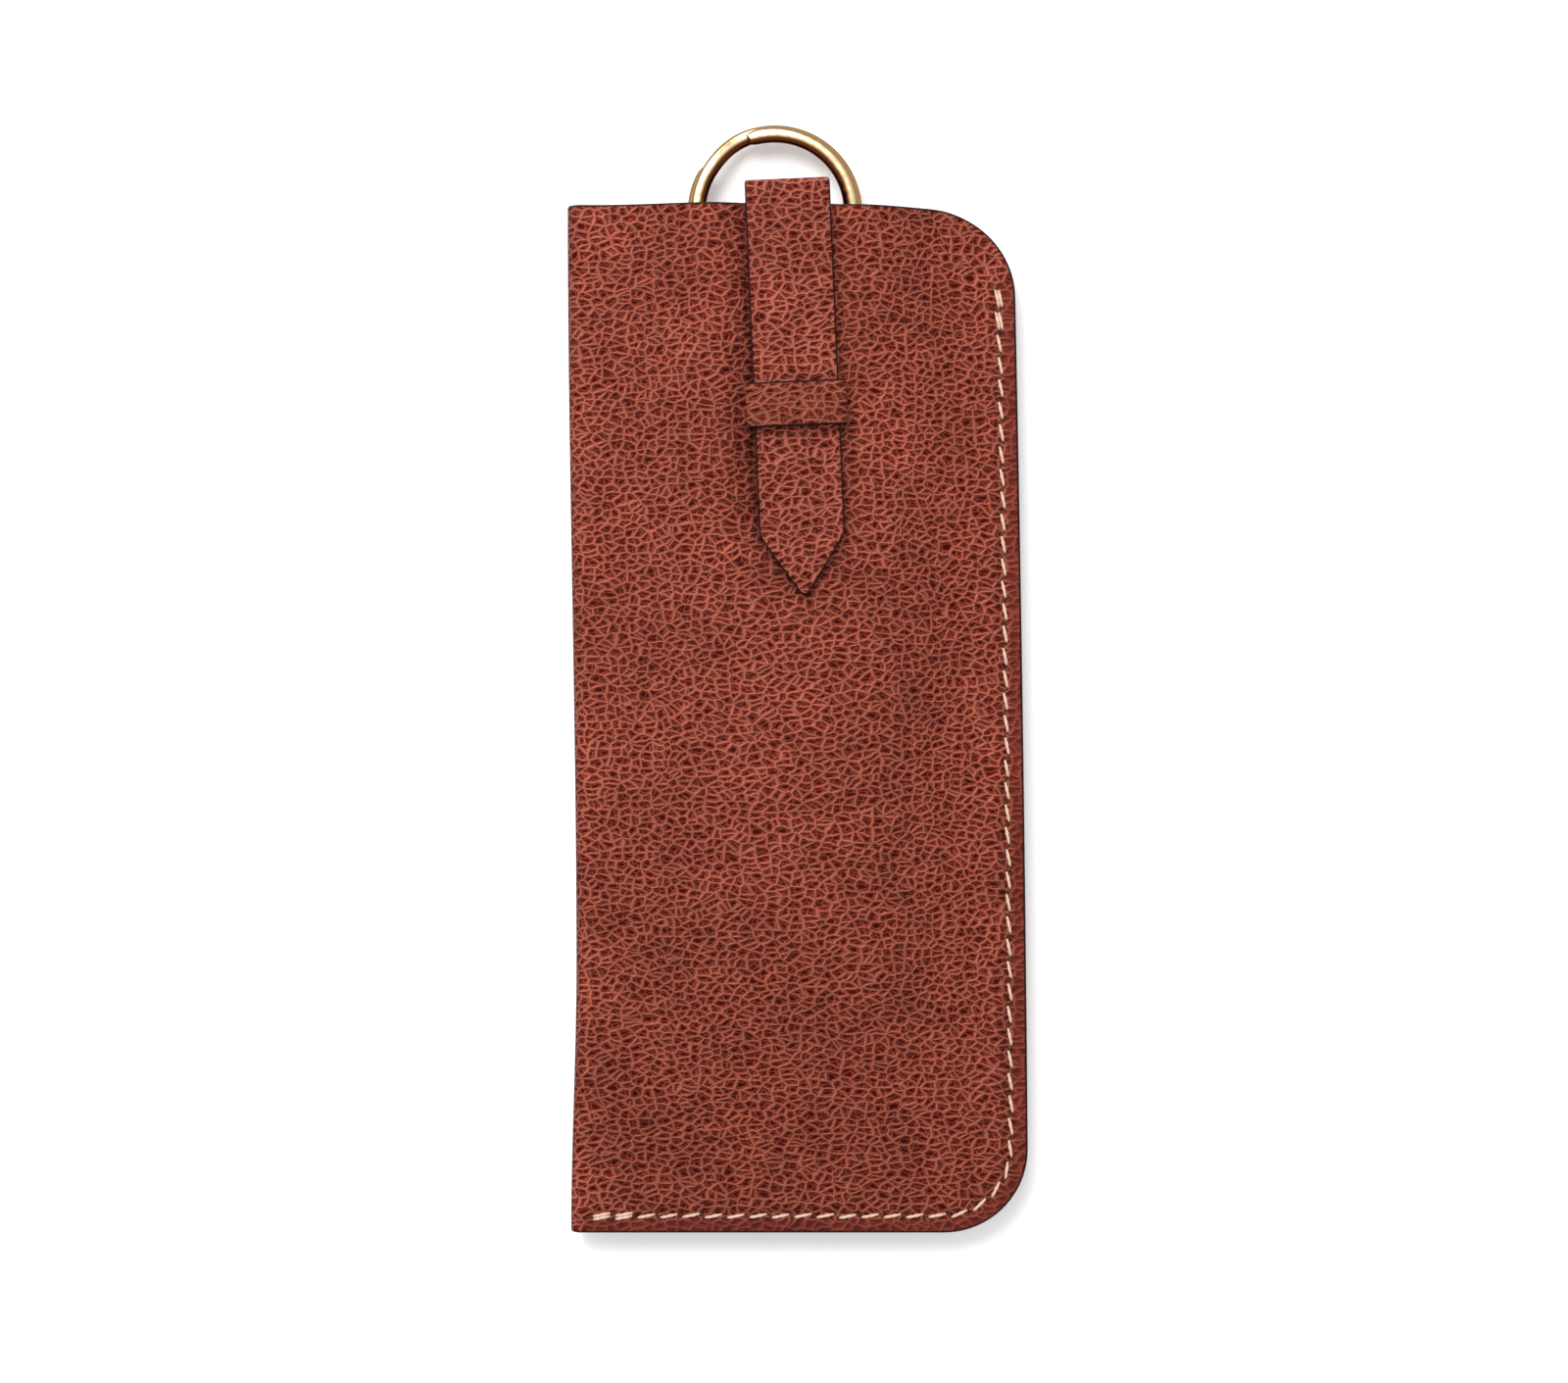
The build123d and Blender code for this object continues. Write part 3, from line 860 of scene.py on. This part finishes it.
def seam_line():
    """Places along the seam, from its top down the side, round the corner and to the fold."""
    side_y = np.linspace(seam_first_y, bottom_y + corner_r, 80)
    side = [(edge_x(mouth_y - y) - seam_inset, y) for y in side_y]
    end_x = edge_x(length - corner_r) - corner_r
    r = corner_r - seam_inset
    angles = np.radians(np.linspace(0, -90, 40))[1:]
    end_y = bottom_y + corner_r
    turn = [(end_x + r * math.cos(a), end_y + r * math.sin(a)) for a in angles]
    return np.array(side + turn + [(seam_last_x, bottom_y + seam_inset)])


seam_path = seam_line()
seam_run = line_run(seam_path)
stitch_count = round(seam_run[-1] / stitch_pitch)
seam_step = seam_run[-1] / stitch_count
print("main seam", round(float(seam_run[-1]), 1), "mm,", stitch_count, "stitches")


def seam_at(run_length):
    return np.array([np.interp(run_length, seam_run, seam_path[:, i]) for i in (0, 1)])


def surface_z(xy, front):
    """Height of the outer face at a place in plan."""
    x, y = np.array([xy[0]]), xy[1]
    fall = mouth_slope * (x - left_x)
    d = (mouth_y - fall - y) * length / (length - fall)
    trim = pressed_in(x, d)
    if front:
        return float((seam_z + leather_far + front_lie(x, d) - trim)[0])
    return float((seam_z - leather_far - back_lie(x, d) + trim)[0])


# %% [markdown]
# The stitches lean, because the two needles of a saddle stitch pull opposite ways, and no two
# lean quite alike. The two at each end are sewn twice.

# %% Stitches of the main seam
between, lean, double_by, thread_thick, thread_arch = 0.42, 0.3, 0.26, 0.54, 0.32


def main_seam(front):
    """The stitches of one face, and the places of their awl holes."""
    out = up if front else -up

    def on_face(place):
        return np.array([*place, surface_z(place, front)])

    stitches, holes = [], []
    for k in range(stitch_count):
        a, b = seam_at(k * seam_step + between), seam_at((k + 1) * seam_step - between)
        way = (b - a) / np.linalg.norm(b - a)
        outward = np.array([-way[1], way[0]])
        wobble = 0.05 * math.sin(k * 2.3) + 0.04 * math.sin(k * 5.1)
        a, b = a - outward * (lean - wobble), b + outward * (lean + wobble)
        double = k < 2 or k >= stitch_count - 2
        for shift in ((-double_by, double_by) if double else (0.0,)):
            start, end = [on_face(p + outward * shift) + out * 0.12 for p in (a, b)]
            stitches.append((start, end, out, thread_thick, thread_arch))
        holes += [on_face(p) for p in (a - way * 0.22, b + way * 0.22)]
    return stitches, holes


# %% [markdown]
# An awl hole shows as a dark dimple at each end of a stitch. Cutting more than a hundred holes in each
# face would spoil the sheet's grid, so each is a shallow disc, half sunk, coloured dark as painted
# shade where the hole would be.

# %% Awl holes, as discs of painted shade
hole_wide, hole_long = 0.27, 0.33
hole_rings = ((1.0, -0.1), (0.95, 0.02), (0.55, 0.05))  # share of the size, and height


def painted_hole_shade(name, holes, material):
    points, faces = [], []
    for hole in holes:
        first = len(points)
        for share, lift in hole_rings:
            for a in round_stitch:
                wide, long = hole_wide * share * math.cos(a), hole_long * share * math.sin(a)
                points.append(hole + [wide, long, lift])
        faces += grid_faces(len(hole_rings), stitch_sides, first, closed=True).tolist()
        bottom, top = tube_ends(len(hole_rings), stitch_sides, first)
        faces += [bottom[::-1], top[::-1]]
    points = np.array(points)
    return make_piece(name, points, faces, material, points[:, :2])


# %% [markdown]
# The front and the back of the main seam, each with its awl holes.

# %% The main seam on both faces
thread = thread_finish()
hole_painted_shade = hole_shade_finish()
for side_name, front in (("front", True), ("back", False)):
    stitches, holes = main_seam(front)
    sewn = seam_piece(f"seam_{side_name}", stitches, thread)
    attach(sewn, "case")
    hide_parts(f"seam_thread_{side_name}")
    dimples = painted_hole_shade(f"painted_hole_shade_{side_name}", holes, hole_painted_shade)
    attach(dimples, "case")

# %% [markdown]
# The strap's root is held by a small box of stitches through the strap, the back and the lining.

# %% Box seam of the strap's root
box_top_u, box_end_u, box_w, box_pitch = 31.5, 42.0, 5.2, 2.6


def box_seam(z, out):
    """Stitches round the box at height z, standing out of the leather towards out."""
    corners = [(box_top_u, -box_w), (box_top_u, box_w), (box_end_u, box_w), (box_end_u, -box_w)]
    stitches = []
    for (u0, w0), (u1, w1) in zip(corners, corners[1:] + corners[:1]):
        a, b = strap_points(u0, w0, z), strap_points(u1, w1, z)
        count = round(float(np.linalg.norm(b - a)) / box_pitch)
        for k in range(count):
            start, end = a + (b - a) * (k + 0.12) / count, a + (b - a) * (k + 0.88) / count
            stitches.append((start + out * 0.08, end + out * 0.08, out, 0.44, 0.2))
    return stitches


outside_z = box_mm("root_thread_outside")[1][2] + 0.02
inside_z = box_mm("root_thread_inside")[0][2] + 0.1
for side_name, height, out in (("outside", outside_z, -up), ("inside", inside_z, up)):
    sewn = seam_piece(f"root_seam_{side_name}", box_seam(height, out), thread)
    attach(sewn, "case")
    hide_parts(f"root_thread_{side_name}")

# %% [markdown]
# The split ring is flattened spring wire, wound twice. It lies low, and over a short length the wire
# steps up onto the second coil. Its section is a soft oblong, polished, its colour a painted highlight
# on top and a painted brown reflection on the inside. A swept superellipse gives cleaner highlights
# than a filleted rectangle.

# On the ring the number "cut" says where a place faces instead: -1 inwards and 1 outwards. The colour
# paints light by it: a painted brown reflection of the leather on the inside, a painted highlight over
# the top and painted shade on the outer rim.

# %% Gold finish
def gold():
    r = Recipe("pale gold")
    place = r.add("TexCoord", {}, out=3)
    streaks = r.add("TexNoise", {"Vector": place, "Scale": 900.0, "Detail": 4.0})
    painted_reflection_facing = r.step(r.mark("cut"), -1.0, 1.0)
    # Painted reflection and highlight: brown where the wire faces in, bright over the top, darker on
    # the outer rim as painted shade.
    colour = r.ramp(
        painted_reflection_facing, (0.0, shade(76, 36, 22)), (0.28, shade(104, 58, 34)), (0.4, shade(206, 164, 98)),
        (0.58, shade(255, 246, 214)), (0.8, shade(236, 208, 154)), (1.0, shade(140, 100, 60)))
    relief = r.add("Bump", {"Strength": 0.08, "Distance": 0.02 * mm, "Height": streaks})
    rough = r.step(streaks, 0.3, 0.7, 0.14, 0.26)
    return r.finish(Base_Color=colour, Metallic=1.0, Roughness=rough, Normal=relief)


# %% [markdown]
# The wire's line is two turns of a circle, drawn as one long sweep. The upper turn is a hair
# smaller, as on a wound ring, and the wire's two cut ends are bare and a little thinner.

# %% Split ring
ring_low, ring_high = box_mm("split_ring")
ring_x, ring_y = (ring_low[0] + ring_high[0]) / 2, (ring_low[1] + ring_high[1]) / 2
ring_outer = (ring_high[0] - ring_low[0]) / 2
wire_wide, wire_thick, coil_pitch, coil_inset = 2.7, 1.45, 1.5, 0.5
step_start, step_turn = 110.5, 36.0  # degrees
wire_rows, wire_sides, wire_square = 320, 24, 0.7


def squared(wave):
    """A sine or cosine pushed outwards, so that a circle becomes a soft oblong."""
    return np.sign(wave) * np.abs(wave) ** wire_square


def split_ring():
    sweep = np.linspace(step_start + step_turn, step_start + 720, wire_rows)
    climb = ramp(sweep, step_start + 360, step_start + 360 + step_turn) * coil_pitch
    a = np.linspace(0, 2 * math.pi, wire_sides, endpoint=False)
    sx, sz = squared(np.cos(a)), squared(np.sin(a))
    rings, painted_reflection_facing = [], []
    for k, (angle, rise) in enumerate(zip(np.radians(sweep), climb)):
        end = min(k, len(sweep) - 1 - k)
        size = 1 - 0.35 * math.exp(-end / 1.5)
        out = np.array([math.cos(angle), math.sin(angle), 0])
        centre = np.array([ring_x, ring_y, ring_low[2] + wire_thick / 2 + rise])
        centre = centre + out * (ring_outer - wire_wide / 2 - coil_inset * rise / coil_pitch)
        painted_reflection_facing.append(sx if end else np.full(wire_sides, -1.0))
        wide, thick = wire_wide / 2 * size, wire_thick / 2 * size
        rings.append(centre + np.outer(sx * wide, out) + np.outer(sz * thick, up))
    faces = grid_faces(wire_rows, wire_sides, closed=True, flip=True).tolist()
    faces += tube_ends(wire_rows, wire_sides)
    return make_piece("gold_ring", np.concatenate(rings), faces, gold(),
                      cut=np.concatenate(painted_reflection_facing), sharp=60)


ring = split_ring()
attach(ring, "ring")
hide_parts("split_ring")

# %% [markdown]
# A plain white floor and soft light: a bright, even room, and one broad lamp above the mouth's
# left corner, which gives the faint shadow under the pouch's lower edge.

# %% Floor and light
def white_floor():
    r = Recipe("white floor")
    noise = r.add("TexNoise", {"Scale": 4.0})
    colour = r.ramp(noise, (0.3, (0.9, 0.9, 0.9, 1)), (0.7, (0.92, 0.92, 0.92, 1)))
    return r.finish(Base_Color=colour, Roughness=0.9, Emission_Color=(1, 1, 1, 1),
                    Emission_Strength=0.16)


floor_reach = 3.0
floor_signs = ((-1, -1), (1, -1), (1, 1), (-1, 1))
floor_corners = [(x * floor_reach, y * floor_reach, 0) for x, y in floor_signs]
floor_mesh = bpy.data.meshes.new("floor")
floor_mesh.from_pydata(floor_corners, [], [(0, 1, 2, 3)])
floor_mesh.materials.append(white_floor())
floor = bpy.data.objects.new("floor", floor_mesh)
bpy.context.scene.collection.objects.link(floor)
floor.location.z = -0.05 * mm

# %% [markdown]
# The room gives most of the light, evenly from all sides. The lamp only adds a direction.

# %% Room and lamp
world = bpy.data.worlds.new("room")
world.use_nodes = True
sky = world.node_tree.nodes["Background"]
sky.inputs["Color"].default_value = (1, 1, 1, 1)
sky.inputs["Strength"].default_value = 0.85
bpy.context.scene.world = world


def lamp(name, place, size, watts):
    """A square lamp that points at the origin."""
    data = bpy.data.lights.new(name, "AREA")
    data.shape, data.size, data.energy = "SQUARE", size, watts
    light = bpy.data.objects.new(name, data)
    bpy.context.scene.collection.objects.link(light)
    light.location = place
    aim = -np.array(place) / np.linalg.norm(place)
    light.rotation_mode = "QUATERNION"
    light.rotation_quaternion = Vector(aim).to_track_quat("-Z", "Y")


lamp("key lamp", (-0.25, 0.55, 0.85), size=0.6, watts=10.0)
bpy.context.scene.view_settings.view_transform = "Standard"
